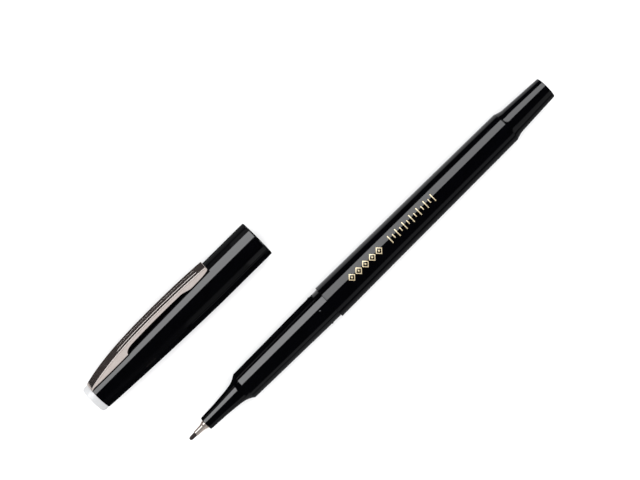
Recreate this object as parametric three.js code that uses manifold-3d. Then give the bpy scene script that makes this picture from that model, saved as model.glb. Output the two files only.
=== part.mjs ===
// Felt tip marker, uncapped, with its cap lying beside it.
// Millimetres, +Z up. X runs along the pen from the nib to the tail, +Y towards the cap.
// The floor under both is z = 0, and the origin is the middle of the whole object's footprint.
import * as THREE from 'three';
import { mergeVertices } from 'three/addons/utils/BufferGeometryUtils.js';
import Module from 'manifold-3d';

const wasm = await Module();
wasm.setup();

// ---- Driving dimensions ----------------------------------------------------
const SEG = 32;                 // sides of every turned form

// Pen, stations measured along its axis; the bare fibre runs from NIB_TIP to the sleeve
const PEN_LENGTH = 128.7;       // station of the tail's end
const NIB_TIP = -0.2;
const NIB_BARE = 2.0;           // front end of the sleeve
const NIB_R = 0.60;
const NIB_END = 42.0;           // rear end of the nib rod, inside the reservoir
const SLEEVE_END = 14.0;
const NOSE_FRONT = 5.64;
const NOSE_EDGE = 19.45;        // sharp edge between the nose cone and the grip
const GRIP_R_FRONT = 4.10;
const NECK_X = 47.0;
const NECK_R = 4.52;
const STOP_X = 50.1;            // front face of the barrel, where the cap stops
const SPIGOT_R = 4.12;
const SPIGOT_END = 62.0;
const LUG_X = 47.05;            // four small snap lugs round the neck
const LUG_TOP_R = 4.65;
const LUG_BALL_R = 0.45;
const BARREL_R_FRONT = 5.0;
const BARREL_END = 114.2;       // parting line of the barrel and the tail plug
const BARREL_R_END = 4.45;
const RES_X0 = 36.0;
const RES_X1 = 104.0;
const RES_R = 3.2;
const FILM_R = 3.42;

// Cap, stations measured from its mouth towards the closed end
const CAP_LENGTH = 59.35;
const CAP_SHELL_LENGTH = 57.45;
const CAP_R = 5.37;
const CAP_STRAIGHT = 17.5;      // length of the parallel part behind the mouth
const CAP_TAPER_A = 0.01528;    // r = CAP_R - A s - B s^2, s from the end of the straight part
const CAP_TAPER_B = 0.000461;

// Where the cap lies: parallel to the pen
const CAP_MOUTH_X = 48.67;      // pen station level with the mouth
const CAP_Y = 24.65;            // distance between the two axes
const CLIP_PHI = 45;            // the clip points up and outward, degrees above the floor

// Clip, a pressed channel of thin steel
const CLIP_ROOT = 57.42;
const ARCH_REF = 57.5;          // station where the arch polynomial starts
const CLIP_TIP = 14.5;
const CLIP_HALF_W = 1.40;
const CLIP_T = 0.45;
const CLIP_SPLAY = 13;          // each side wall leans out by this many degrees
const CLIP_GAP = 0.4;           // side walls stand off the cap by this
const CLIP_NARROW = 1.19;       // depth of the side walls in the middle
const CLIP_ARCH = [4.3959008, 0.35114739, -0.014521882, 0.00028583507, -2.476379e-6];

// ---- Turned and lofted forms ------------------------------------------------
const rad = (deg) => (deg * Math.PI) / 180;

function volume(geo) {
  const p = geo.getAttribute('position');
  const idx = geo.getIndex();
  const a = new THREE.Vector3(), b = new THREE.Vector3(), c = new THREE.Vector3();
  let v = 0;
  for (let i = 0; i < idx.count; i += 3) {
    a.fromBufferAttribute(p, idx.getX(i));
    b.fromBufferAttribute(p, idx.getX(i + 1));
    c.fromBufferAttribute(p, idx.getX(i + 2));
    v += a.dot(b.cross(c)) / 6;
  }
  return v;
}

// One closed body with merged corners and its faces pointing out.
function closed(geo) {
  geo.deleteAttribute('normal');
  geo.deleteAttribute('uv');
  let g = mergeVertices(geo, 1e-5);
  const src = Array.from(g.getIndex().array);
  const out = [];
  const flip = volume(g) < 0;
  for (let i = 0; i < src.length; i += 3) {
    const [a, b, c] = [src[i], src[i + 1], src[i + 2]];
    if (a === b || b === c || a === c) continue;
    if (flip) out.push(a, c, b); else out.push(a, b, c);
  }
  g.setIndex(out);
  return g;
}

// profile: [station, radius] pairs. The axis of the form is X.
function turned(profile) {
  const pts = profile.map(([s, r]) => new THREE.Vector2(r, s));
  const g = new THREE.LatheGeometry(pts, SEG);
  g.rotateZ(-Math.PI / 2);
  return closed(g);
}

function ring(profile) {
  return turned([...profile, profile[0]]);
}

function solid(geo) {
  return new wasm.Manifold(new wasm.Mesh({
    numProp: 3,
    vertProperties: Float32Array.from(geo.getAttribute('position').array),
    triVerts: Uint32Array.from(geo.getIndex().array),
  }));
}

function fromSolid(man) {
  const m = man.getMesh();
  const g = new THREE.BufferGeometry();
  g.setAttribute('position', new THREE.BufferAttribute(Float32Array.from(m.vertProperties), 3));
  g.setIndex(Array.from(m.triVerts));
  return g;
}

function box(x0, x1, y0, y1, z0, z1) {
  const g = new THREE.BoxGeometry(x1 - x0, y1 - y0, z1 - z0);
  g.translate((x0 + x1) / 2, (y0 + y1) / 2, (z0 + z1) / 2);
  return closed(g);
}

const capR = (d) => {
  const s = Math.max(0, d - CAP_STRAIGHT);
  return CAP_R - CAP_TAPER_A * s - CAP_TAPER_B * s * s;
};

// ---- Pen --------------------------------------------------------------------
const noseProfile = [
  [6.5, 1.985], [8.55, 2.07], [10.6, 2.17], [12.7, 2.335], [14.7, 2.53],
  [15.8, 2.665], [16.8, 2.83], [17.8, 3.13], [18.6, 3.52], [19.2, 3.9],
];
const gripSection = (() => {
  let m = solid(ring([
    [SPIGOT_END, 3.55], [31.0, 3.55], [24.0, 1.1], [14.6, 1.1], [14.3, 1.32], [NOSE_FRONT, 1.32],
    [NOSE_FRONT, 1.68], [5.72, 1.84], [5.92, 1.94],
    ...noseProfile,
    [NOSE_EDGE, 4.07], [NOSE_EDGE + 0.12, GRIP_R_FRONT],
    [NECK_X, NECK_R], [STOP_X - 0.05, NECK_R], [STOP_X - 0.05, SPIGOT_R],
    [SPIGOT_END - 0.4, SPIGOT_R], [SPIGOT_END, SPIGOT_R - 0.2],
  ]));
  for (let k = 0; k < 4; k++) {
    const a = (k * Math.PI) / 2;
    const ball = new THREE.SphereGeometry(LUG_BALL_R, 12, 8);
    const r = LUG_TOP_R - LUG_BALL_R;
    ball.translate(LUG_X, r * Math.cos(a), r * Math.sin(a));
    m = m.add(solid(closed(ball)));
  }
  return fromSolid(m);
})();

const barrel = ring([
  [STOP_X, 4.22], [STOP_X, 4.88], [STOP_X + 0.12, BARREL_R_FRONT],
  [72.0, 4.79], [92.0, 4.65], [106.0, 4.53], [BARREL_END, BARREL_R_END],
  [BARREL_END, 3.7], [SPIGOT_END + 0.8, 3.78], [SPIGOT_END + 0.4, 4.22],
]);

const tailPlug = turned([
  [126.9, 0], [126.9, 2.0], [118.0, 2.7], [105.5, 2.8], [105.5, 3.45], [106.0, 3.6],
  [BARREL_END + 0.05, 3.6], [BARREL_END + 0.05, 4.42], [114.6, 4.28], [115.15, 4.10], [115.7, 3.935],
  [116.2, 3.82], [116.9, 3.755], [118.5, 3.68], [121.9, 3.5], [126.0, 3.295], [128.55, 3.17],
  [PEN_LENGTH, 3.05], [PEN_LENGTH, 0],
]);

const nibSleeve = ring([
  [SLEEVE_END, 1.0], [6.1, 1.0], [4.7, 0.65], [NIB_BARE, 0.65], [NIB_BARE, 0.73], [2.08, 0.75],
  [4.1, 0.83], [4.6, 0.96], [5.1, 1.14], [5.55, 1.22], [SLEEVE_END, 1.22],
]);

const fibreNib = turned([
  [NIB_TIP, 0], [NIB_TIP + 0.03, 0.22], [NIB_TIP + 0.12, 0.35], [NIB_TIP + 0.3, 0.46], [0.5, 0.535], [1.1, 0.58], [NIB_BARE, NIB_R],
  [NIB_END, NIB_R], [NIB_END, 0],
]);

const inkReservoir = turned([
  [42.4, 0], [42.4, 0.7], [RES_X0, 0.7], [RES_X0, RES_R], [RES_X1, RES_R], [RES_X1, 0],
]);

const reservoirFilm = ring([
  [RES_X0, 3.28], [RES_X0, FILM_R], [RES_X1, FILM_R], [RES_X1, 3.28],
]);

// ---- Cap, its mouth at 0 and its closed end at -CAP_LENGTH --------------------
const neg = (profile) => profile.map(([d, r]) => [-d, r]);

const capShell = (() => {
  const taper = [20, 25, 30, 35, 40, 45, 50, 54].map((d) => [d, capR(d)]);
  const m = solid(ring(neg([
    [0.0, 4.78], [0.0, 4.98], [0.12, 5.22], [0.4, CAP_R], [CAP_STRAIGHT, CAP_R],
    ...taper, [CAP_SHELL_LENGTH, capR(CAP_SHELL_LENGTH)],
    [CAP_SHELL_LENGTH, 3.4], [56.65, 3.4], [56.65, 2.3], [54.75, 2.3], [54.75, 3.4],
    [32.0, 3.95], [31.0, 4.42], [0.35, 4.68],
  ])));
  // Notch through the end of the wall, where the tab of the clip comes out.
  const notch = box(-CAP_SHELL_LENGTH - 0.5, -56.65, 3.0, 5.0, -1.3, 1.3);
  notch.rotateX(rad(CLIP_PHI));
  return fromSolid(m.subtract(solid(notch)));
})();

const innerCap = turned(neg([
  [52.2, 0], [52.2, 2.2], [45.5, 2.4], [44.5, 2.12], [42.5, 2.12], [40.0, 2.95], [33.0, 3.05],
  [33.0, 3.75], [33.3, 3.82], [53.3, 3.36], [53.6, 3.2], [53.6, 0],
]));

const capEndPlug = turned(neg([
  [56.55, 0], [56.55, 1.3], [54.0, 1.3], [54.0, 2.05], [54.2, 2.15], [57.5, 2.15], [57.5, 3.99],
  [58.95, 3.89], [59.25, 3.79], [CAP_LENGTH, 3.6], [CAP_LENGTH, 0],
]));

const clipRing = (() => {
  const washer = solid(ring(neg([[56.8, 2.35], [56.8, 3.3], [57.15, 3.3], [57.15, 2.35]])));
  const tab = box(-57.15, -56.8, 2.9, 3.8, -1.1, 1.1);
  tab.rotateX(rad(CLIP_PHI));
  return fromSolid(washer.add(solid(tab)));
})();

// The clip's long arm: a channel section lofted along the cap. Built pointing to +Y, then turned.
const archTop = (d) => {
  const s = ARCH_REF - d;
  return CLIP_ARCH.reduce((sum, c, i) => sum + c * s ** i, 0);
};
const clipBottom = (d) => {
  const top = archTop(d);
  let lip = top - CLIP_NARROW;
  for (let k = 0; k < 3; k++) {
    const wb = CLIP_HALF_W + (top - lip) * Math.tan(rad(CLIP_SPLAY));
    const seat = Math.sqrt(capR(d) ** 2 - wb * wb) + CLIP_GAP;
    const narrow = top - CLIP_NARROW;
    let f;                      // 0 on the cap, 1 at the narrow side wall, below 0 on the turned-up toe
    if (d >= 44.2) f = 0;
    else if (d >= 41.6) { const u = (44.2 - d) / 2.6; f = Math.sqrt(1 - (1 - u) * (1 - u)); }
    else if (d >= 24.1) f = 1;
    else if (d >= 20.4) { const u = (d - 20.4) / 3.7; f = u * u * (3 - 2 * u); }
    else if (d >= 17.4) f = 0;
    else {
      const u = (17.4 - d) / (17.4 - CLIP_TIP);
      const v = Math.max(0, (CLIP_TIP + 0.5 - d) / 0.5);        // small rounded corner
      f = -(0.36 * u * u + 0.45 * (1 - Math.sqrt(1 - v * v)));
    }
    lip = f >= 0 ? seat + (narrow - seat) * f : seat - f;
  }
  return lip;
};
const clipArm = (() => {
  const stations = [CLIP_ROOT, 56.9, 56, 54, 52, 50, 48, 46, 44.2, 44.0, 43.6, 43.0, 42.3, 41.6, 39.5, 37, 34,
    31.5, 29, 26.5, 24.1, 23.4, 22.5, 21.5, 20.8, 20.4, 18.9, 17.4, 16.4, 15.6, 15.0, 14.78, 14.6, CLIP_TIP];
  const lean = Math.tan(rad(CLIP_SPLAY));
  const wall = CLIP_T / Math.cos(rad(CLIP_SPLAY));
  const pos = [];
  for (const d of stations) {
    const top = archTop(d);
    const bot = Math.min(clipBottom(d), top - CLIP_T - 0.02);
    const wb = CLIP_HALF_W + (top - bot) * lean;
    const wi = CLIP_HALF_W + CLIP_T * lean - wall;
    const sec = [[-wb, bot], [-CLIP_HALF_W, top], [CLIP_HALF_W, top], [wb, bot],
      [wb - wall, bot], [wi, top - CLIP_T], [-wi, top - CLIP_T], [-wb + wall, bot]];
    for (const [u, r] of sec) pos.push(-d, r, -u);
  }
  const n = stations.length, idx = [];
  const quad = (a, b, c, d) => idx.push(a, b, c, a, c, d);
  for (let i = 0; i < n - 1; i++) {
    for (let k = 0; k < 8; k++) {
      const l = (k + 1) % 8;
      quad(i * 8 + k, i * 8 + l, (i + 1) * 8 + l, (i + 1) * 8 + k);
    }
  }
  for (const [e, turn] of [[0, false], [(n - 1) * 8, true]]) {
    for (const q of [[0, 1, 6, 7], [1, 2, 5, 6], [2, 3, 4, 5]]) {
      const c = q.map((v) => v + e);
      if (turn) quad(c[0], c[1], c[2], c[3]); else quad(c[3], c[2], c[1], c[0]);
    }
  }
  const g = new THREE.BufferGeometry();
  g.setAttribute('position', new THREE.Float32BufferAttribute(pos, 3));
  g.setIndex(idx);
  g.rotateX(rad(CLIP_PHI));
  return closed(g);
})();

// ---- Materials ----------------------------------------------------------------
const gloss = (color) => new THREE.MeshStandardMaterial({ color, roughness: 0.15, metalness: 0 });
const matte = (color) => new THREE.MeshStandardMaterial({ color, roughness: 0.7, metalness: 0 });
const steel = (color, roughness) => new THREE.MeshStandardMaterial({ color, roughness, metalness: 1 });
const black = gloss(0x08080c);
const white = new THREE.MeshStandardMaterial({ color: 0xe6e8ee, roughness: 0.35, metalness: 0 });

// ---- Assembly -------------------------------------------------------------------
function piece(name, geometry, material) {
  const mesh = new THREE.Mesh(geometry, material);
  mesh.name = name;
  return mesh;
}

// Middle of the footprint, in pen stations and in Y from the pen's axis.
const topMax = 7.604;           // highest point of the clip's arch above the cap's axis
const midX = (PEN_LENGTH + CAP_MOUTH_X - CAP_LENGTH) / 2;
const midY = (CAP_Y + Math.cos(rad(CLIP_PHI)) * (topMax + CLIP_HALF_W) - BARREL_R_FRONT) / 2;

const pen = new THREE.Group();
pen.position.set(-midX, -midY, BARREL_R_FRONT);
pen.add(
  piece('barrel', barrel, black),
  piece('tail_plug', tailPlug, black),
  piece('grip_section', gripSection, black),
  piece('nib_sleeve', nibSleeve, steel(0xcfc8c0, 0.25)),
  piece('fibre_nib', fibreNib, matte(0x2b2526)),
  piece('ink_reservoir', inkReservoir, matte(0x15151c)),
  piece('reservoir_film', reservoirFilm, gloss(0xdadde2)),
);

const cap = new THREE.Group();
cap.position.set(CAP_MOUTH_X - midX, CAP_Y - midY, CAP_R);
cap.add(
  piece('cap_shell', capShell, black),
  piece('cap_end_plug', capEndPlug, white),
  piece('inner_cap', innerCap, white),
  piece('clip_ring', clipRing, steel(0xd4cdc8, 0.2)),
  piece('clip_arm', clipArm, steel(0xd4cdc8, 0.2)),
);

const marker = new THREE.Group();
marker.add(pen, cap);
export default marker;
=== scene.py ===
import math
import bpy
import bmesh
import numpy as np
from mathutils import Matrix, Vector


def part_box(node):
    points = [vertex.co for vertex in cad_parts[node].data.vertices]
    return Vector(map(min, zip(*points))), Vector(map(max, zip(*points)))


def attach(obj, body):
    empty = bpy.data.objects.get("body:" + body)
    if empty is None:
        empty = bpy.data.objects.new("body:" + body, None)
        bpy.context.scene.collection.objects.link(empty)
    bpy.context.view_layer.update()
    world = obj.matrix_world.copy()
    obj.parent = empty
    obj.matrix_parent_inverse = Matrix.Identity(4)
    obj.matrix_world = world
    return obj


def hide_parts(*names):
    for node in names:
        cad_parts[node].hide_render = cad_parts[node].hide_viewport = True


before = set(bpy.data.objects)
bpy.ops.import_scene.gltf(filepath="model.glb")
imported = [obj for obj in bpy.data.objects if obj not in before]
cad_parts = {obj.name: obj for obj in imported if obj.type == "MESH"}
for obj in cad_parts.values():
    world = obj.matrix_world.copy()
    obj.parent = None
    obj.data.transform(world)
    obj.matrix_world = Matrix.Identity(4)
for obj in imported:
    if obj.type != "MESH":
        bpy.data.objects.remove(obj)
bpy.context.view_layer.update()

MM = 0.001
scene = bpy.context.scene

# ---------------------------------------------------------------- where the frame says things are
nib_lo, nib_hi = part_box("fibre_nib")
bar_lo, bar_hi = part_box("barrel")
shell_lo, shell_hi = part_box("cap_shell")
plug_lo, plug_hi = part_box("cap_end_plug")
PEN_X0 = nib_lo.x / MM + 0.2                         # the pen's station 0; the nib's tip is at -0.2
PEN_Y = (bar_lo.y + bar_hi.y) / 2 / MM
PEN_Z = (bar_lo.z + bar_hi.z) / 2 / MM
CAP_X0 = shell_hi.x / MM                             # mouth of the cap
CAP_Y = (shell_lo.y + shell_hi.y) / 2 / MM
CAP_Z = (shell_lo.z + shell_hi.z) / 2 / MM

# ---------------------------------------------------------------- dimensions, mm (as in the CAD)
NOSE_FRONT, NOSE_EDGE, GRIP_R = 5.64, 19.45, 4.10
NECK_X, NECK_R, STOP_X = 47.0, 4.52, 50.1
SPIGOT_R, SPIGOT_END = 4.12, 62.0
BARREL_END, PEN_LENGTH = 114.2, 128.7
CAP_R, CAP_STRAIGHT, CAP_SHELL, CAP_LEN = 5.37, 17.5, 57.45, 59.35
CLIP_PHI = math.radians(45)
CLIP_ROOT, CLIP_TIP, CLIP_HW, CLIP_T, CLIP_SPLAY = 57.42, 14.5, 1.40, 0.45, math.radians(13)
ARCH_REF, CLIP_NARROW = 57.5, 1.19
CLIP_ARCH = (4.3959008, 0.35114739, -0.014521882, 0.00028583507, -2.476379e-6)


def cap_r(d):
    s = max(0.0, d - CAP_STRAIGHT)
    return CAP_R - 0.01528 * s - 0.000461 * s * s


# ---------------------------------------------------------------- mesh helpers
def smooth_curve(pts, step):
    """A rounded line through the points, for moulded profiles (centripetal Catmull-Rom)."""
    p = [np.array(q, float) for q in pts]
    p = [2 * p[0] - p[1]] + p + [2 * p[-1] - p[-2]]
    out = []
    for i in range(1, len(p) - 2):
        a, b, c, d = p[i - 1], p[i], p[i + 1], p[i + 2]
        t0 = 0.0
        t1 = t0 + np.linalg.norm(b - a) ** 0.5
        t2 = t1 + np.linalg.norm(c - b) ** 0.5
        t3 = t2 + np.linalg.norm(d - c) ** 0.5
        n = max(2, int(np.linalg.norm(c - b) / step))
        for k in range(n):
            t = t1 + (t2 - t1) * k / n
            a1 = (t1 - t) / (t1 - t0) * a + (t - t0) / (t1 - t0) * b
            a2 = (t2 - t) / (t2 - t1) * b + (t - t1) / (t2 - t1) * c
            a3 = (t3 - t) / (t3 - t2) * c + (t - t2) / (t3 - t2) * d
            b1 = (t2 - t) / (t2 - t0) * a1 + (t - t0) / (t2 - t0) * a2
            b2 = (t3 - t) / (t3 - t1) * a2 + (t - t1) / (t3 - t1) * a3
            out.append(tuple((t2 - t) / (t2 - t1) * b1 + (t - t1) / (t2 - t1) * b2))
    out.append(tuple(p[-2]))
    return out


def rounded(profile, closed=True, n=5):
    """Rounds the corners of a profile. Each point is (x, r) or (x, r, corner radius)."""
    out = []
    m = len(profile)
    for i, q in enumerate(profile):
        rad = q[2] if len(q) > 2 else 0.0
        if rad <= 0 or (not closed and i in (0, m - 1)):
            out.append((q[0], q[1]))
            continue
        p = np.array(q[:2], float)
        a = np.array(profile[(i - 1) % m][:2], float) - p
        b = np.array(profile[(i + 1) % m][:2], float) - p
        la, lb = np.linalg.norm(a), np.linalg.norm(b)
        a, b = a / la, b / lb
        cosang = float(np.clip(a @ b, -1, 1))
        half = math.acos(cosang) / 2
        if half > math.radians(89.5):
            out.append((q[0], q[1]))
            continue
        cut = min(rad / math.tan(half), la * 0.49, lb * 0.49)
        r = cut * math.tan(half)
        centre = p + (a + b) / np.linalg.norm(a + b) * (r / math.sin(half))
        s, e = p + a * cut - centre, p + b * cut - centre
        ang = math.acos(float(np.clip((s @ e) / (np.linalg.norm(s) * np.linalg.norm(e)), -1, 1)))
        for k in range(n + 1):
            t = k / n
            v = (math.sin((1 - t) * ang) * s + math.sin(t * ang) * e) / math.sin(ang)
            out.append(tuple(centre + v))
    return out


def finish_mesh(name, verts, faces, angle=32):
    me = bpy.data.meshes.new(name)
    me.from_pydata([tuple(v) for v in verts], [], faces)
    bm = bmesh.new()
    bm.from_mesh(me)
    bmesh.ops.remove_doubles(bm, verts=bm.verts, dist=2e-8)
    bmesh.ops.recalc_face_normals(bm, faces=bm.faces)
    bm.to_mesh(me)
    bm.free()
    me.polygons.foreach_set("use_smooth", [True] * len(me.polygons))
    me.set_sharp_from_angle(angle=math.radians(angle))
    me.update()
    ob = bpy.data.objects.new(name, me)
    scene.collection.objects.link(ob)
    return ob


def lathe_data(profile, x0, cy, cz, sign=1, segs=128):
    """Vertices (metres) and faces of a turned form. A profile that starts and ends at r = 0 is a solid, any other closes on itself."""
    prof = [(float(x), max(0.0, float(r))) for x, r in profile]
    solid = prof[0][1] < 1e-9 and prof[-1][1] < 1e-9
    verts, rings = [], []
    for x, r in prof:
        if r < 1e-9:
            rings.append([len(verts)])
            verts.append(((x0 + sign * x) * MM, cy * MM, cz * MM))
        else:
            ids = []
            for k in range(segs):
                a = 2 * math.pi * k / segs
                ids.append(len(verts))
                verts.append(((x0 + sign * x) * MM, (cy + r * math.cos(a)) * MM, (cz + r * math.sin(a)) * MM))
            rings.append(ids)
    pairs = list(zip(rings[:-1], rings[1:]))
    if not solid:
        pairs.append((rings[-1], rings[0]))
    faces = []
    for a, b in pairs:
        if len(a) == 1 and len(b) == 1:
            continue
        for k in range(segs):
            l = (k + 1) % segs
            if len(a) == 1:
                faces.append((a[0], b[l], b[k]))
            elif len(b) == 1:
                faces.append((a[k], a[l], b[0]))
            else:
                faces.append((a[k], a[l], b[l], b[k]))
    return verts, faces


def lathe(name, profile, on="pen", segs=128, angle=32):
    if on == "pen":
        v, f = lathe_data(profile, PEN_X0, PEN_Y, PEN_Z, 1, segs)
    else:
        v, f = lathe_data(profile, CAP_X0, CAP_Y, CAP_Z, -1, segs)
    return finish_mesh(name, v, f, angle)


def place(ob, body, node, material):
    ob.data.materials.clear()
    ob.data.materials.append(material)
    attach(ob, body)
    if node:
        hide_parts(node)
    return ob


# ---------------------------------------------------------------- materials
class Mat:
    def __init__(self, name):
        self.m = bpy.data.materials.new(name)
        self.m.use_nodes = True
        self.t = self.m.node_tree
        self.t.nodes.clear()
        self.out = self.t.nodes.new("ShaderNodeOutputMaterial")
        self.b = self.t.nodes.new("ShaderNodeBsdfPrincipled")
        self.t.links.new(self.b.outputs[0], self.out.inputs[0])
        self.co = self.t.nodes.new("ShaderNodeTexCoord")

    def node(self, kind, **kw):
        n = self.t.nodes.new(kind)
        for k, v in kw.items():
            setattr(n, k, v)
        return n

    def link(self, a, b):
        self.t.links.new(a, b)

    def set(self, **kw):
        for k, v in kw.items():
            self.b.inputs[k.replace("_", " ")].default_value = v

    def mapped(self, scale, rot=(0, 0, 0)):
        mp = self.node("ShaderNodeMapping")
        mp.inputs["Scale"].default_value = scale
        mp.inputs["Rotation"].default_value = rot
        self.link(self.co.outputs["Object"], mp.inputs["Vector"])
        return mp.outputs[0]

    def noise(self, scale, detail=4.0, rough=0.55, stretch=(1, 1, 1), rot=(0, 0, 0), distort=0.0):
        n = self.node("ShaderNodeTexNoise")
        n.inputs["Scale"].default_value = scale
        n.inputs["Detail"].default_value = detail
        n.inputs["Roughness"].default_value = rough
        n.inputs["Distortion"].default_value = distort
        self.link(self.mapped(stretch, rot), n.inputs["Vector"])
        return n.outputs["Fac"]

    def ramp(self, fac, stops, interp="LINEAR"):
        r = self.node("ShaderNodeValToRGB")
        r.color_ramp.interpolation = interp
        el = r.color_ramp.elements
        while len(el) > 1:
            el.remove(el[-1])
        for i, (p, c) in enumerate(stops):
            e = el[0] if i == 0 else el.new(p)
            e.position = p
            e.color = c if len(c) == 4 else (*c, 1)
        self.link(fac, r.inputs["Fac"])
        return r.outputs["Color"]

    def rng(self, fac, lo, hi, a=0.0, b=1.0):
        r = self.node("ShaderNodeMapRange")
        r.inputs["From Min"].default_value = a
        r.inputs["From Max"].default_value = b
        r.inputs["To Min"].default_value = lo
        r.inputs["To Max"].default_value = hi
        self.link(fac, r.inputs["Value"])
        return r.outputs["Result"]

    def math(self, op, a, b=None):
        n = self.node("ShaderNodeMath", operation=op)
        for i, v in enumerate((a, b)):
            if v is None:
                continue
            if isinstance(v, (int, float)):
                n.inputs[i].default_value = v
            else:
                self.link(v, n.inputs[i])
        return n.outputs[0]

    def bump(self, height, strength, distance, normal=None):
        n = self.node("ShaderNodeBump")
        n.inputs["Strength"].default_value = strength
        n.inputs["Distance"].default_value = distance
        self.link(height, n.inputs["Height"])
        if normal is not None:
            self.link(normal, n.inputs["Normal"])
        return n.outputs["Normal"]


def grey(v):
    return (v, v, v, 1)


def black_plastic(name="black_plastic", base=(0.0007, 0.0007, 0.0012), rough=0.05, level=0.5):
    m = Mat(name)
    tone = m.noise(260, 3)
    lo = tuple(c * 0.75 for c in base)
    hi = tuple(c * 1.35 for c in base)
    m.link(m.ramp(tone, [(0.3, lo), (0.7, hi)]), m.b.inputs["Base Color"])
    # Hairline handling scratches, mostly along the pen and a few slanting ones.
    s1 = m.noise(1, 2, 0.5, (170, 6500, 6500), (0.0, 0.06, 0.12))
    s2 = m.noise(1, 2, 0.5, (330, 5200, 5200), (0.2, 0.5, 0.45))
    h1 = m.ramp(s1, [(0.0, grey(0)), (0.705, grey(0)), (0.735, grey(1))])
    h2 = m.ramp(s2, [(0.0, grey(0)), (0.74, grey(0)), (0.77, grey(1))])
    hair = m.math("MAXIMUM", h1, h2)
    smudge = m.noise(210, 5, 0.6, distort=0.6)
    r = m.rng(smudge, rough * 0.8, rough * 1.7, 0.35, 0.7)
    m.link(m.math("ADD", r, m.math("MULTIPLY", hair, 0.10)), m.b.inputs["Roughness"])
    sink = m.noise(130, 2, 0.4)
    peel = m.noise(2300, 2, 0.5)
    n1 = m.bump(sink, 0.12, 0.00008)
    n2 = m.bump(peel, 0.05, 0.000012, n1)
    n3 = m.bump(hair, 0.10, -0.000006, n2)
    m.link(n3, m.b.inputs["Normal"])
    m.set(IOR=1.49, Specular_IOR_Level=level)
    return m.m


def white_plastic(name, base, rough=0.32, sss=0.15):
    m = Mat(name)
    tone = m.noise(420, 4)
    lo = tuple(c * 0.955 for c in base)
    m.link(m.ramp(tone, [(0.3, lo), (0.7, base)]), m.b.inputs["Base Color"])
    r = m.noise(1500, 4)
    m.link(m.rng(r, rough * 0.85, rough * 1.25, 0.3, 0.7), m.b.inputs["Roughness"])
    m.link(m.bump(m.noise(5200, 3), 0.12, 0.000015), m.b.inputs["Normal"])
    m.set(IOR=1.5)
    m.set(Subsurface_Weight=sss, Subsurface_Scale=0.0012)
    m.b.inputs["Subsurface Radius"].default_value = (1.0, 0.9, 0.8)
    return m.m


def steel(name, base, rough, along, bump=0.22):
    """Bright steel. along: the direction of the drawing lines, 'x' for a drawn or brushed strip and 'ring' for a turned tube."""
    m = Mat(name)
    stretch = (60, 9000, 9000) if along == "x" else (26000, 90, 90)
    lines = m.noise(1, 3, 0.6, stretch)
    cloud = m.noise(600, 4, 0.6)
    tint = tuple(c * t for c, t in zip(base, (0.90, 0.875, 0.86)))
    m.link(m.ramp(cloud, [(0.3, tint), (0.7, base)]), m.b.inputs["Base Color"])
    r = m.math("ADD", m.rng(lines, rough * 0.7, rough * 1.3, 0.3, 0.7), m.rng(cloud, 0.0, 0.04, 0.45, 0.7))
    m.link(r, m.b.inputs["Roughness"])
    m.link(m.bump(lines, bump, 0.000004), m.b.inputs["Normal"])
    m.set(Metallic=1.0)
    return m.m


def fibre(name, dark, light, rough, scale=9000, bump=0.5, dist=0.00003):
    m = Mat(name)
    f = m.noise(1, 3, 0.6, (300, scale, scale))
    m.link(m.ramp(f, [(0.35, dark), (0.68, light)]), m.b.inputs["Base Color"])
    m.link(m.rng(f, rough * 1.2, rough * 0.8, 0.3, 0.7), m.b.inputs["Roughness"])
    m.link(m.bump(f, bump, dist), m.b.inputs["Normal"])
    m.set(IOR=1.45, Specular_IOR_Level=0.3)
    return m.m


def foil(name):
    m = Mat(name)
    c = m.noise(2600, 4, 0.7)
    m.link(m.ramp(c, [(0.3, (0.74, 0.62, 0.38)), (0.6, (0.90, 0.80, 0.56)), (0.8, (0.96, 0.90, 0.72))]), m.b.inputs["Base Color"])
    m.link(m.rng(c, 0.22, 0.42, 0.3, 0.7), m.b.inputs["Roughness"])
    m.link(m.bump(m.noise(7000, 3), 0.25, 0.000006), m.b.inputs["Normal"])
    m.set(Metallic=1.0)
    return m.m


def film(name):
    m = Mat(name)
    w = m.noise(500, 3)
    m.link(m.ramp(w, [(0.3, (0.70, 0.73, 0.76)), (0.7, (0.82, 0.84, 0.86))]), m.b.inputs["Base Color"])
    m.link(m.rng(w, 0.12, 0.25), m.b.inputs["Roughness"])
    m.link(m.bump(m.noise(1, 3, 0.5, (900, 2600, 2600)), 0.3, 0.00002), m.b.inputs["Normal"])
    m.set(Transmission_Weight=0.35, IOR=1.47)
    return m.m


M_GRIP = black_plastic("grip_black", level=0.59)
M_BLACK = black_plastic("barrel_black", level=0.43)
M_CAP = black_plastic("cap_black", level=0.55)
M_WHITE = white_plastic("plug_white", (0.665, 0.67, 0.68))
M_LINER = white_plastic("liner_white", (0.72, 0.73, 0.74), 0.5, 0.25)
M_SLEEVE = steel("sleeve_steel", (0.86, 0.80, 0.75), 0.16, "ring", 0.3)
M_CLIP = steel("clip_steel", (0.78, 0.735, 0.715), 0.13, "x")
M_NIB = fibre("nib_fibre", (0.018, 0.014, 0.014), (0.075, 0.058, 0.055), 0.38, 14000, 0.4, 0.00001)
M_INK = fibre("ink_fibre", (0.004, 0.004, 0.007), (0.03, 0.03, 0.045), 0.7, 4200, 0.8, 0.00008)
M_FILM = film("clear_film")
M_GOLD = foil("gold_foil")

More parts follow.
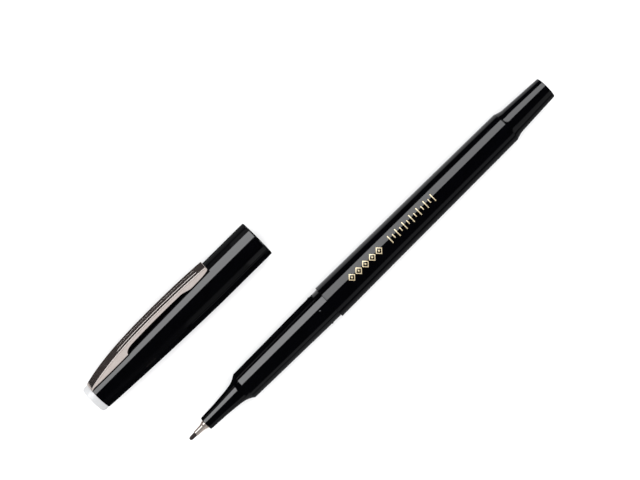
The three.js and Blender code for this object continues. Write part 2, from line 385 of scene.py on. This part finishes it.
# ---------------------------------------------------------------- pen
nose = smooth_curve([(5.92, 1.94), (6.5, 1.985), (8.55, 2.07), (10.6, 2.17), (12.7, 2.335), (14.7, 2.53),
                     (15.8, 2.665), (16.8, 2.83), (17.8, 3.13), (18.6, 3.52), (19.2, 3.9), (19.43, 4.055)], 0.12)
grip_prof = rounded([
    (SPIGOT_END, 3.55, 0.1), (31.0, 3.55, 0.5), (24.0, 1.1, 0.5), (14.6, 1.1), (14.3, 1.32), (NOSE_FRONT, 1.32, 0.05),
    (NOSE_FRONT, 1.90, 0.2),
] + [(x, r) for x, r in nose[1:-1]] + [
    (NOSE_EDGE, 4.085, 0.05), (NOSE_EDGE + 0.35, GRIP_R + 0.003, 0.3),
] + [(x, GRIP_R + (x - NOSE_EDGE - 0.12) * (NECK_R - GRIP_R) / (NECK_X - NOSE_EDGE - 0.12)) for x in np.arange(20.5, 46.9, 1.2)] + [
    (NECK_X, NECK_R, 1.0), (STOP_X - 0.05, NECK_R, 0.03), (STOP_X - 0.05, SPIGOT_R, 0.05),
    (SPIGOT_END - 0.4, SPIGOT_R, 0.1), (SPIGOT_END, SPIGOT_R - 0.2, 0.05)], True, 5)
gv, gf = lathe_data(grip_prof, PEN_X0, PEN_Y, PEN_Z, 1, 160)
# The four snap lugs, each a low dome set into the neck.
for k in range(4):
    ang = math.pi / 2 * k
    base = len(gv)
    ball, r_c = 0.45, 4.65 - 0.45
    rings, segs = 10, 24
    up = Vector((0, math.cos(ang), math.sin(ang)))
    side = Vector((0, -math.sin(ang), math.cos(ang)))
    ahead = Vector((1, 0, 0))
    centre = Vector((PEN_X0 + 47.05, PEN_Y, PEN_Z)) + up * r_c
    gv.append(tuple((centre + up * ball) * MM))
    for i in range(1, rings):
        th = math.pi * i / rings
        for j in range(segs):
            ph = 2 * math.pi * j / segs
            p = centre + up * (ball * math.cos(th)) + (ahead * math.cos(ph) + side * math.sin(ph)) * (ball * math.sin(th))
            gv.append(tuple(p * MM))
    gv.append(tuple((centre - up * ball) * MM))
    last = len(gv) - 1
    for j in range(segs):
        l = (j + 1) % segs
        gf.append((base, base + 1 + j, base + 1 + l))
        for i in range(rings - 2):
            a = base + 1 + i * segs
            gf.append((a + j, a + segs + j, a + segs + l, a + l))
        a = base + 1 + (rings - 2) * segs
        gf.append((last, a + l, a + j))
grip = finish_mesh("grip_section_fine", gv, gf)
place(grip, "pen", "grip_section", M_GRIP)

barrel_out = [(STOP_X + 0.3 + 0.0, 4.999)] + [(x, float(np.interp(x, [50.22, 72, 92, 106, BARREL_END], [5.0, 4.79, 4.65, 4.53, 4.45])))
                                              for x in np.arange(51.5, 114.0, 1.25)]
barrel_prof = rounded([(STOP_X, 4.22, 0.05), (STOP_X, 5.0, 0.14)] + barrel_out + [
    (BARREL_END, 4.45, 0.07), (BARREL_END, 3.7, 0.03), (SPIGOT_END + 0.8, 3.78), (SPIGOT_END + 0.4, 4.22)], True, 5)
place(lathe("barrel_fine", barrel_prof, "pen", 160), "pen", "barrel", M_BLACK)

shoulder = smooth_curve([(114.32, 4.385), (114.6, 4.28), (115.15, 4.10), (115.7, 3.935), (116.2, 3.82), (116.9, 3.755),
                         (118.5, 3.68), (121.9, 3.5), (126.0, 3.295), (128.35, 3.18)], 0.12)
tail_prof = rounded([
    (126.9, 0.0), (126.9, 2.0, 0.3), (118.0, 2.7, 0.5), (105.5, 2.8, 0.05), (105.5, 3.5, 0.1), (106.0, 3.6, 0.1),
    (BARREL_END + 0.05, 3.6, 0.02), (BARREL_END + 0.05, 4.415, 0.06)] + shoulder + [
    (PEN_LENGTH, 3.165, 0.18), (PEN_LENGTH, 0.0)], False, 6)
place(lathe("tail_plug_fine", tail_prof, "pen", 144), "pen", "tail_plug", M_BLACK)

sleeve_out = smooth_curve([(2.12, 0.752), (3.1, 0.785), (4.05, 0.828), (4.6, 0.955), (5.1, 1.135), (5.55, 1.213)], 0.06)
sleeve_prof = rounded([(14.0, 1.0, 0.03), (6.1, 1.0, 0.2), (4.7, 0.65, 0.2), (2.0, 0.65, 0.02), (2.0, 0.75, 0.05)] + sleeve_out + [
    (14.0, 1.22, 0.04)], True, 5)
place(lathe("nib_sleeve_fine", sleeve_prof, "pen", 96), "pen", "nib_sleeve", M_SLEEVE)

nib_tip = smooth_curve([(-0.2, 0.0), (-0.17, 0.22), (-0.08, 0.35), (0.1, 0.46), (0.5, 0.535), (1.1, 0.58), (2.0, 0.599)], 0.03)
place(lathe("fibre_nib_fine", nib_tip + [(42.0, 0.60), (42.0, 0.0)], "pen", 72), "pen", "fibre_nib", M_NIB)

res_prof = rounded([(42.4, 0.0), (42.4, 0.7), (36.0, 0.7, 0.1), (36.0, 3.2, 0.25), (104.0, 3.2, 0.25), (104.0, 0.0)], False, 5)
place(lathe("ink_reservoir_fine", res_prof, "pen", 96), "pen", "ink_reservoir", M_INK)
film_prof = rounded([(36.0, 3.28, 0.03), (36.0, 3.42, 0.03), (104.0, 3.42, 0.03), (104.0, 3.28, 0.03)], True, 3)
place(lathe("reservoir_film_fine", film_prof, "pen", 96), "pen", "reservoir_film", M_FILM)

# ---------------------------------------------------------------- cap
taper = [(d, cap_r(d)) for d in np.arange(17.5, 57.1, 1.25)]
shell_prof = rounded([
    (0.0, 4.76, 0.06), (0.0, CAP_R, 0.4), (8.0, CAP_R)] + taper + [
    (CAP_SHELL, cap_r(CAP_SHELL), 0.06), (CAP_SHELL, 3.4, 0.03), (56.65, 3.4), (56.65, 2.3, 0.05), (54.75, 2.3, 0.05), (54.75, 3.4, 0.1),
    (32.0, 3.95), (31.0, 4.42), (0.35, 4.68)], True, 6)
shell = lathe("cap_shell_fine", shell_prof, "cap", 160)


def turned_to_clip(p):
    """From the clip's own directions (back along the cap, across, out from the axis) to the frame, in metres."""
    d, u, rho = p
    c, s = math.cos(CLIP_PHI), math.sin(CLIP_PHI)
    return Vector(((CAP_X0 - d), CAP_Y + rho * c + u * s, CAP_Z + rho * s - u * c)) * MM


def cut_box(ob, d0, d1, u0, u1, r0, r1):
    v = [turned_to_clip((d, u, r)) for d in (d0, d1) for u in (u0, u1) for r in (r0, r1)]
    f = [(0, 1, 3, 2), (4, 6, 7, 5), (0, 4, 5, 1), (2, 3, 7, 6), (0, 2, 6, 4), (1, 5, 7, 3)]
    tool = finish_mesh("tool", v, f)
    mod = ob.modifiers.new("cut", "BOOLEAN")
    mod.operation, mod.solver, mod.object = "DIFFERENCE", "EXACT", tool
    dg = bpy.context.evaluated_depsgraph_get()
    me = bpy.data.meshes.new_from_object(ob.evaluated_get(dg))
    ob.modifiers.clear()
    old = ob.data
    ob.data = me
    bpy.data.meshes.remove(old)
    bpy.data.objects.remove(tool)
    me.set_sharp_from_angle(angle=math.radians(32))


cut_box(shell, 56.65, 58.15, -1.3, 1.3, 3.0, 5.0)
place(shell, "cap", "cap_shell", M_CAP)

plug_prof = rounded([
    (56.55, 0.0), (56.55, 1.3, 0.1), (54.0, 1.3, 0.05), (54.0, 2.15, 0.15), (57.5, 2.15, 0.05), (57.5, 3.99, 0.05),
    (58.85, 3.895, 0.6), (CAP_LEN, 3.80, 0.22), (CAP_LEN, 0.0)], False, 7)
place(lathe("cap_end_plug_fine", plug_prof, "cap", 144), "cap", "cap_end_plug", M_WHITE)

liner_prof = rounded([
    (52.2, 0.0), (52.2, 2.2, 0.5), (45.5, 2.4, 0.4), (44.5, 2.12, 0.3), (42.5, 2.12, 0.4), (40.0, 2.95, 0.8), (33.0, 3.05, 0.12),
    (33.0, 3.80, 0.2), (53.4, 3.36, 0.3), (53.6, 3.2, 0.1), (53.6, 0.0)], False, 5)
place(lathe("inner_cap_fine", liner_prof, "cap", 112), "cap", "inner_cap", M_LINER)


# ---------------------------------------------------------------- clip
def arch_top(d):
    s = ARCH_REF - d
    return sum(c * s ** i for i, c in enumerate(CLIP_ARCH))


def clip_bottom(d):
    top = arch_top(d)
    lip = top - CLIP_NARROW
    for _ in range(4):
        wb = CLIP_HW + (top - lip) * math.tan(CLIP_SPLAY)
        seat = math.sqrt(cap_r(d) ** 2 - wb * wb) + 0.46
        narrow = top - CLIP_NARROW
        if d >= 44.2:
            f = 0.0
        elif d >= 41.6:
            f = math.sqrt(max(0.0, 1 - (1 - (44.2 - d) / 2.6) ** 2))
        elif d >= 24.1:
            f = 1.0
        elif d >= 20.4:
            u = (d - 20.4) / 3.7
            f = u * u * (3 - 2 * u)
        elif d >= 17.4:
            f = 0.0
        else:
            u = (17.4 - d) / (17.4 - CLIP_TIP)
            v = min(1.0, max(0.0, (CLIP_TIP + 0.5 - d) / 0.5))
            f = -(0.36 * u * u + 0.45 * (1 - math.sqrt(1 - v * v)))
        lip = seat + (narrow - seat) * f if f >= 0 else seat - f
    return lip


def fade(x, a, b):
    t = min(1.0, max(0.0, (x - a) / (b - a)))
    return t * t * (3 - 2 * t)


def clip_section(d):
    """Outline of the pressed channel at one station, from the near lip over the top to the far lip and back inside."""
    top = arch_top(d)
    bot = min(clip_bottom(d), top - CLIP_T - 0.05)
    lean = math.tan(CLIP_SPLAY)
    wb = CLIP_HW + (top - bot) * lean
    wall = CLIP_T / math.cos(CLIP_SPLAY)
    rc = 0.10                                         # outer bend of the sheet
    outer = []
    # near side wall, up
    soft = min(0.13, (top - bot) * 0.2)                # the sheet's lower edge is tumbled round
    for k in range(5):
        a = math.pi / 2 * k / 5
        outer.append((-wb + soft * (1 - math.sin(a)), bot + soft * (1 - math.cos(a))))
    h = top - bot
    at, half_w = min(0.37, 0.45 * h), min(0.075, 0.12 * h)   # a fine pressed line along the wall, below the bend
    run = h - rc * 0.8
    low, high = (h - at - half_w) / run, min(0.97, (h - at + half_w) / run)
    line = 0.024 * fade(h, 0.7, 1.0)
    ts = list(np.linspace(soft / h, low, 4)) + list(np.linspace(low, high, 11))[1:] + [1.0]
    for t in ts:
        q = (2 * t - low - high) / (high - low)
        g = line * (0.5 + 0.5 * math.cos(math.pi * q)) if abs(q) < 1 else 0.0
        outer.append((-wb + (wb - CLIP_HW - rc * 0.45 * lean) * t + 0.974 * g, bot + run * t - 0.225 * g))
    a0, a1 = math.pi - CLIP_SPLAY, math.pi / 2
    cx, cy = -CLIP_HW + rc * 0.98, top - rc
    for k in range(1, 7):
        a = a0 + (a1 - a0) * k / 6
        outer.append((cx + rc * math.cos(a), cy + rc * math.sin(a)))
    # across the top: two long flutes
    grow = fade(d, 16.7, 17.4) * (1 - fade(d, 44.6, 47.0))
    for u in np.linspace(cx + 0.02, 0, 40)[:-1]:
        g = 0.0
        x = abs(abs(u) - 0.53) / 0.12
        if x < 1:
            g = 0.5 + 0.5 * math.cos(math.pi * x)
        outer.append((u, top - 0.028 * g * grow))
    shallow = [(u, top - (top - r) * 0.64) for u, r in outer[-39:]]   # the far flute is pressed less deep
    half = outer
    full = half + [(0.0, top)] + [(-u, r) for u, r in reversed(half[:-39] + shallow)]
    wi = CLIP_HW + CLIP_T * lean - wall
    rin = 0.06
    inner = [(wb - wall, bot)]
    inner += [(wb - wall + (wi - wb + wall) * t, bot + (top - CLIP_T - bot) * t) for t in (0.34, 0.67, 0.93)]
    inner += [(wi - 0.05, top - CLIP_T), (wi * 0.5, top - CLIP_T), (0, top - CLIP_T), (-wi * 0.5, top - CLIP_T), (-wi + 0.05, top - CLIP_T)]
    inner += [(-(wb - wall + (wi - wb + wall) * t), bot + (top - CLIP_T - bot) * t) for t in (0.93, 0.67, 0.34)]
    inner += [(-wb + wall, bot)]
    return full, inner


stations = sorted(set([round(float(x), 3) for x in np.concatenate([
    np.linspace(CLIP_TIP, CLIP_TIP + 0.6, 16), np.linspace(CLIP_TIP + 0.6, 17.4, 14), np.linspace(17.4, 25.5, 30),
    np.linspace(25.5, 41.6, 28), np.linspace(41.6, 44.5, 30), np.linspace(44.5, CLIP_ROOT, 28)])]))
cv, cf = [], []
n_out = n_all = None
for i, d in enumerate(stations):
    full, inner = clip_section(d)
    n_out, n_all = len(full), len(full) + len(inner)
    inset = 0.0
    e = min(d - CLIP_TIP, CLIP_ROOT - d)
    if e < 0.14:                                      # the sheared edge is slightly rounded
        inset = 0.16 * (1 - math.sqrt(max(0.0, 1 - (1 - e / 0.14) ** 2)))
    mid = arch_top(d) - CLIP_T / 2
    for u, r in full + inner:
        cv.append(turned_to_clip((d, u * (1 - inset * 0.35), r - inset * 0.6 if r > mid else r)))
for i in range(len(stations) - 1):
    for k in range(n_all):
        l = (k + 1) % n_all
        cf.append((i * n_all + k, i * n_all + l, (i + 1) * n_all + l, (i + 1) * n_all + k))
for e in (0, len(stations) - 1):
    cf.append(tuple(e * n_all + k for k in range(n_all)))
clip = finish_mesh("clip_arm_fine", cv, cf, 40)
bm = bmesh.new()
bm.from_mesh(clip.data)
bmesh.ops.triangulate(bm, faces=[f for f in bm.faces if len(f.verts) > 4])
bm.to_mesh(clip.data)
bm.free()
place(clip, "clip", "clip_arm", M_CLIP)

ring_prof = rounded([(56.8, 2.35, 0.03), (56.8, 3.3, 0.05), (57.15, 3.3, 0.05), (57.15, 2.35, 0.03)], True, 3)
rv, rf = lathe_data(ring_prof, CAP_X0, CAP_Y, CAP_Z, -1, 96)
b = len(rv)
rv += [tuple(turned_to_clip((d, u, r))) for d in (56.81, 57.14) for u in (-1.1, 1.1) for r in (3.0, 3.8)]
rf += [tuple(b + q for q in f) for f in ((0, 1, 3, 2), (4, 6, 7, 5), (0, 4, 5, 1), (2, 3, 7, 6), (0, 2, 6, 4), (1, 5, 7, 3))]
place(finish_mesh("clip_ring_fine", rv, rf), "cap", "clip_ring", M_CLIP)


# ---------------------------------------------------------------- gold foil ornament on the barrel, a plain pattern with no letters
def barrel_r(x):
    return float(np.interp(x, [50.22, 72, 92, 106, BARREL_END], [5.0, 4.79, 4.65, 4.53, 4.45]))


def on_barrel(x, a, lift):
    """A point of the foil: station x, distance a round the barrel from the middle line of the ornament, lift off the surface."""
    r = barrel_r(x) + lift
    th = math.pi / 2 + TILT + a / barrel_r(x)
    return ((PEN_X0 + x) * MM, (PEN_Y + r * math.cos(th)) * MM, (PEN_Z + r * math.sin(th)) * MM)


def foil_band(verts, faces, left, right, ring=False):
    """A thin leaf between two lines of points with the same number of points, wrapped on the barrel."""
    b, n = len(verts), len(left)
    for lift in (-0.012, 0.012):
        for line in (left, right):
            for x, a in line:
                verts.append(on_barrel(x, a, lift))
    lo_l, lo_r, hi_l, hi_r = b, b + n, b + 2 * n, b + 3 * n
    for k in range(n if ring else n - 1):
        l = (k + 1) % n
        faces.append((hi_l + k, hi_l + l, hi_r + l, hi_r + k))
        faces.append((lo_l + k, lo_r + k, lo_r + l, lo_l + l))
        faces.append((lo_l + k, lo_l + l, hi_l + l, hi_l + k))
        faces.append((lo_r + k, hi_r + k, hi_r + l, lo_r + l))
    if not ring:
        for k in (0, n - 1):
            faces.append((lo_l + k, hi_l + k, hi_r + k, lo_r + k))


def lozenge(c, w, h, n=7):
    """Points round a lozenge, n along each side."""
    pts = []
    corners = [(c - w, 0.0), (c, h), (c + w, 0.0), (c, -h)]
    for i in range(4):
        p, q = corners[i], corners[(i + 1) % 4]
        pts += [(p[0] + (q[0] - p[0]) * k / n, p[1] + (q[1] - p[1]) * k / n) for k in range(n)]
    return pts


fv, ff = [], []
TILT = math.radians(-5.8)
for i in range(5):                                    # a row of open lozenges, each with a small one in it
    c = 58.85 + i * 2.42
    foil_band(fv, ff, lozenge(c, 1.10, 1.17), lozenge(c, 0.80, 0.83), ring=True)
    foil_band(fv, ff, lozenge(c, 0.30, 0.33, 3), lozenge(c, 0.02, 0.02, 3), ring=True)
for i in range(13):                                   # then a row of slim bars, tall and short by turns
    c = 72.6 + i * 1.27
    h = 1.17 if i % 2 == 0 else 0.6
    steps = [-h + 2 * h * k / 8 for k in range(9)]
    foil_band(fv, ff, [(c - 0.13, a) for a in steps], [(c + 0.13, a) for a in steps])
orn = finish_mesh("foil_ornament", fv, ff)
orn.data.materials.append(M_GOLD)
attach(orn, "pen")

# ---------------------------------------------------------------- floor
floor_me = bpy.data.meshes.new("floor")
floor_me.from_pydata([(-3, -3, 0), (3, -3, 0), (3, 3, 0), (-3, 3, 0)], [], [(0, 1, 2, 3)])
floor = bpy.data.objects.new("floor", floor_me)
scene.collection.objects.link(floor)
fm = Mat("floor_pale")
fm.link(fm.ramp(fm.noise(30, 3), [(0.3, (0.86, 0.86, 0.865)), (0.7, (0.88, 0.88, 0.885))]), fm.b.inputs["Base Color"])
fm.set(Roughness=0.85, Specular_IOR_Level=0.2)
floor_me.materials.append(fm.m)
floor.visible_glossy = False

# ---------------------------------------------------------------- light
world = bpy.data.worlds.new("studio")
scene.world = world
world.use_nodes = True
wt = world.node_tree
wt.nodes.clear()
w_out = wt.nodes.new("ShaderNodeOutputWorld")
w_mix = wt.nodes.new("ShaderNodeMixShader")
w_path = wt.nodes.new("ShaderNodeLightPath")
w_all = wt.nodes.new("ShaderNodeBackground")
w_gloss = wt.nodes.new("ShaderNodeBackground")
w_all.inputs["Color"].default_value = (1, 1, 1, 1)
w_all.inputs["Strength"].default_value = 1.05
w_gloss.inputs["Color"].default_value = (0.9, 0.93, 1.0, 1)
w_gloss.inputs["Strength"].default_value = 0.015
wt.links.new(w_path.outputs["Is Glossy Ray"], w_mix.inputs["Fac"])
wt.links.new(w_all.outputs[0], w_mix.inputs[1])
wt.links.new(w_gloss.outputs[0], w_mix.inputs[2])
wt.links.new(w_mix.outputs[0], w_out.inputs["Surface"])

PEN_AXIS = Vector((0, PEN_Y, PEN_Z)) * MM
CAP_AXIS = Vector((0, CAP_Y, CAP_Z)) * MM


def group(name, *pieces):
    """A set of pieces that a soft box is aimed at."""
    c = bpy.data.collections.new(name)
    for o in pieces:
        c.objects.link(bpy.data.objects[o])
    return c


G_PEN = group("lit_pen", "barrel_fine", "tail_plug_fine", "grip_section_fine")
G_CAP = group("lit_cap", "cap_shell_fine", "cap_end_plug_fine")
G_BARREL = group("lit_barrel", "barrel_fine")
G_GRIP = group("lit_grip", "grip_section_fine")
G_TAIL = group("lit_tail", "tail_plug_fine")
G_METAL = group("lit_metal", "clip_arm_fine", "foil_ornament")
G_TIP = group("lit_tip", "nib_sleeve_fine")


def panel(name, centre, normal, size_x, size_y, radiance, color=(1, 1, 1), to=None, glossy=True, diffuse=False):
    """A soft box. size_x runs along the frame's X, and normal is the way it shines. radiance: 1 is the white of the floor."""
    li = bpy.data.lights.new(name, "AREA")
    li.shape = "RECTANGLE"
    li.size, li.size_y = size_x, size_y
    li.energy = radiance * math.pi * size_x * size_y
    li.color = color
    ob = bpy.data.objects.new(name, li)
    scene.collection.objects.link(ob)
    z = -Vector(normal).normalized()
    x = Vector((1, 0, 0))
    x = (x - z * x.dot(z)).normalized()
    y = z.cross(x)
    m = Matrix((x, y, z)).transposed().to_4x4()
    m.translation = Vector(centre)
    ob.matrix_world = m
    ob.visible_camera = False
    ob.visible_glossy = glossy
    ob.visible_diffuse = diffuse
    ob.visible_transmission = False
    if to is not None:
        ob.light_linking.receiver_collection = to
    return ob


def arc_panel(name, deg0, deg1, dist, length, radiance, color=(1, 1, 1), x=0.0, about=(0, 0, 0.005), **kw):
    """A soft box that fills the angles deg0 to deg1 from the vertical, positive towards +Y, seen from the point about."""
    a = math.radians((deg0 + deg1) / 2)
    half = math.radians(abs(deg1 - deg0) / 2)
    c = Vector(about) + Vector((x, dist * math.sin(a), dist * math.cos(a)))
    n = Vector((0, -math.sin(a), -math.cos(a)))
    return panel(name, c, n, length, 2 * dist * math.tan(half), radiance, color, **kw)


def floor_strip(name, y0, y1, x0, x1, radiance, color=(1, 1, 1), **kw):
    """The pale ground close beside a piece, as its lower side sees it."""
    return panel(name, ((x0 + x1) / 2, (y0 + y1) / 2, 0.00006), (0, 0, 1), x1 - x0, y1 - y0, radiance, color, **kw)


COOL = (0.975, 0.98, 1.0)
WARM = (1.0, 0.95, 0.925)
BROWN = (1.0, 0.80, 0.76)
STEP = (PEN_X0 + 48.2) * MM
# the long soft box overhead on the cap's side, and the dim cards opposite
arc_panel("key_pen", 18.0, 62.5, 0.6, 1.2, 5.0, COOL, about=PEN_AXIS, to=G_PEN)
arc_panel("key_cap", 16.5, 63.0, 0.6, 1.2, 5.0, COOL, about=CAP_AXIS, to=G_CAP)
arc_panel("fill_barrel", -64.0, -88.0, 0.6, 1.2, 0.30, COOL, about=PEN_AXIS, to=G_BARREL)
arc_panel("fill_grip", -72.0, -94.0, 0.6, 1.2, 0.27, COOL, about=PEN_AXIS, to=G_GRIP)
arc_panel("fill_tail", -46.0, -88.0, 0.6, 1.2, 0.36, COOL, about=PEN_AXIS, to=G_TAIL)
arc_panel("fill_cap", -58.0, -87.0, 0.3, 0.20, 0.28, COOL, x=0.080, about=CAP_AXIS, to=G_CAP)
arc_panel("fill_cap_mid", -58.0, -87.0, 0.3, 0.055, 0.12, COOL, x=-0.0475, about=CAP_AXIS, to=G_CAP)
arc_panel("fill_cap_far", -58.0, -87.0, 0.3, 0.20, 0.03, COOL, x=-0.175, about=CAP_AXIS, to=G_CAP)
arc_panel("side_cap", 65.0, 92.0, 0.3, 0.20, 0.20, COOL, x=0.080, about=CAP_AXIS, to=G_CAP)
arc_panel("side_cap_mid", 65.0, 92.0, 0.3, 0.055, 0.08, COOL, x=-0.0475, about=CAP_AXIS, to=G_CAP)
floor_strip("ground_cap_side", CAP_AXIS.y + 0.0085, CAP_AXIS.y + 0.042, -0.030, 0.03, 0.12, COOL, to=G_CAP)
floor_strip("ground_pen_far", PEN_AXIS.y + 0.003, PEN_AXIS.y + 0.027, STEP, 0.14, 0.70, COOL, to=G_PEN)
floor_strip("ground_pen_near", PEN_AXIS.y - 0.040, PEN_AXIS.y - 0.003, -0.10, 0.14, 0.17, COOL, to=G_PEN)
floor_strip("ground_cap_far", CAP_AXIS.y + 0.0025, CAP_AXIS.y + 0.0045, -0.12, 0.06, 0.5, COOL, to=G_CAP)
floor_strip("ground_cap_near", CAP_AXIS.y - 0.0045, CAP_AXIS.y - 0.0015, -0.12, 0.06, 0.12, COOL, to=G_CAP)
# what the bright clip and the foil see: the white room from above and from the pen's side, and a dark warm gap on the far side
arc_panel("key_clip", 15.0, 70.0, 0.6, 1.2, 2.0, (1, 1, 1), to=G_METAL)
arc_panel("room_clip", 14.0, -88.0, 0.6, 7.0, 0.80, WARM, to=G_METAL)
arc_panel("gap_clip", 72.0, 100.0, 0.6, 7.0, 0.040, BROWN, to=G_METAL)
floor_strip("ground_clip", CAP_AXIS.y + 0.006, CAP_AXIS.y + 0.030, -0.30, 0.30, 0.75, WARM, to=G_METAL)
# and the nib's sleeve, which is dimmer overhead than at its sides
arc_panel("key_tip", 22.0, 66.0, 0.6, 1.2, 1.7, (1, 1, 1), to=G_TIP)
arc_panel("room_tip", 20.0, -36.0, 0.6, 5.0, 0.25, WARM, to=G_TIP)
arc_panel("side_tip", -38.0, -89.0, 0.6, 5.0, 0.44, WARM, to=G_TIP)
arc_panel("gap_tip", 72.0, 89.0, 0.6, 5.0, 0.18, BROWN, to=G_TIP)
floor_strip("ground_tip", PEN_AXIS.y - 0.04, PEN_AXIS.y - 0.0005, -0.12, 0.02, 0.68, WARM, to=G_TIP)
floor_strip("ground_tip_far", PEN_AXIS.y + 0.0005, PEN_AXIS.y + 0.02, -0.12, 0.02, 0.34, BROWN, to=G_TIP)
# the ground has its own light from straight above, so that it stays a clean white
G_FLOOR = group("lit_floor", "floor")
panel("floor_light", (0, 0, 0.6), (0, 0, -1), 0.8, 0.8, 2.3, to=G_FLOOR, glossy=False, diffuse=True)
# soft shaping of everything that isn't glossy
G_PIECES = group("lit_pieces", *[o.name for o in scene.objects if o.type == "MESH" and o.name != "floor"])
arc_panel("soft_key", 20.0, 60.0, 0.6, 0.9, 0.9, (1, 1, 1), to=G_PIECES, glossy=False, diffuse=True)

# ---------------------------------------------------------------- camera
cam_data = bpy.data.cameras.new("camera")
cam = bpy.data.objects.new("camera", cam_data)
scene.collection.objects.link(cam)
DIST = 0.50
CAM_X = PEN_X0 * MM + 0.059755                         # over the middle of the pair
CAM_Y = PEN_Y * MM + 0.0129884
cam.location = (CAM_X, CAM_Y, 0.005 + DIST)
cam.rotation_euler = (0, 0, math.radians(-44.68))
cam_data.sensor_width = 36.0
cam_data.lens = 36.0 * DIST / 0.1648
cam_data.clip_start, cam_data.clip_end = 0.01, 20
scene.camera = cam

scene.view_settings.view_transform = "Standard"
scene.view_settings.look = "None"
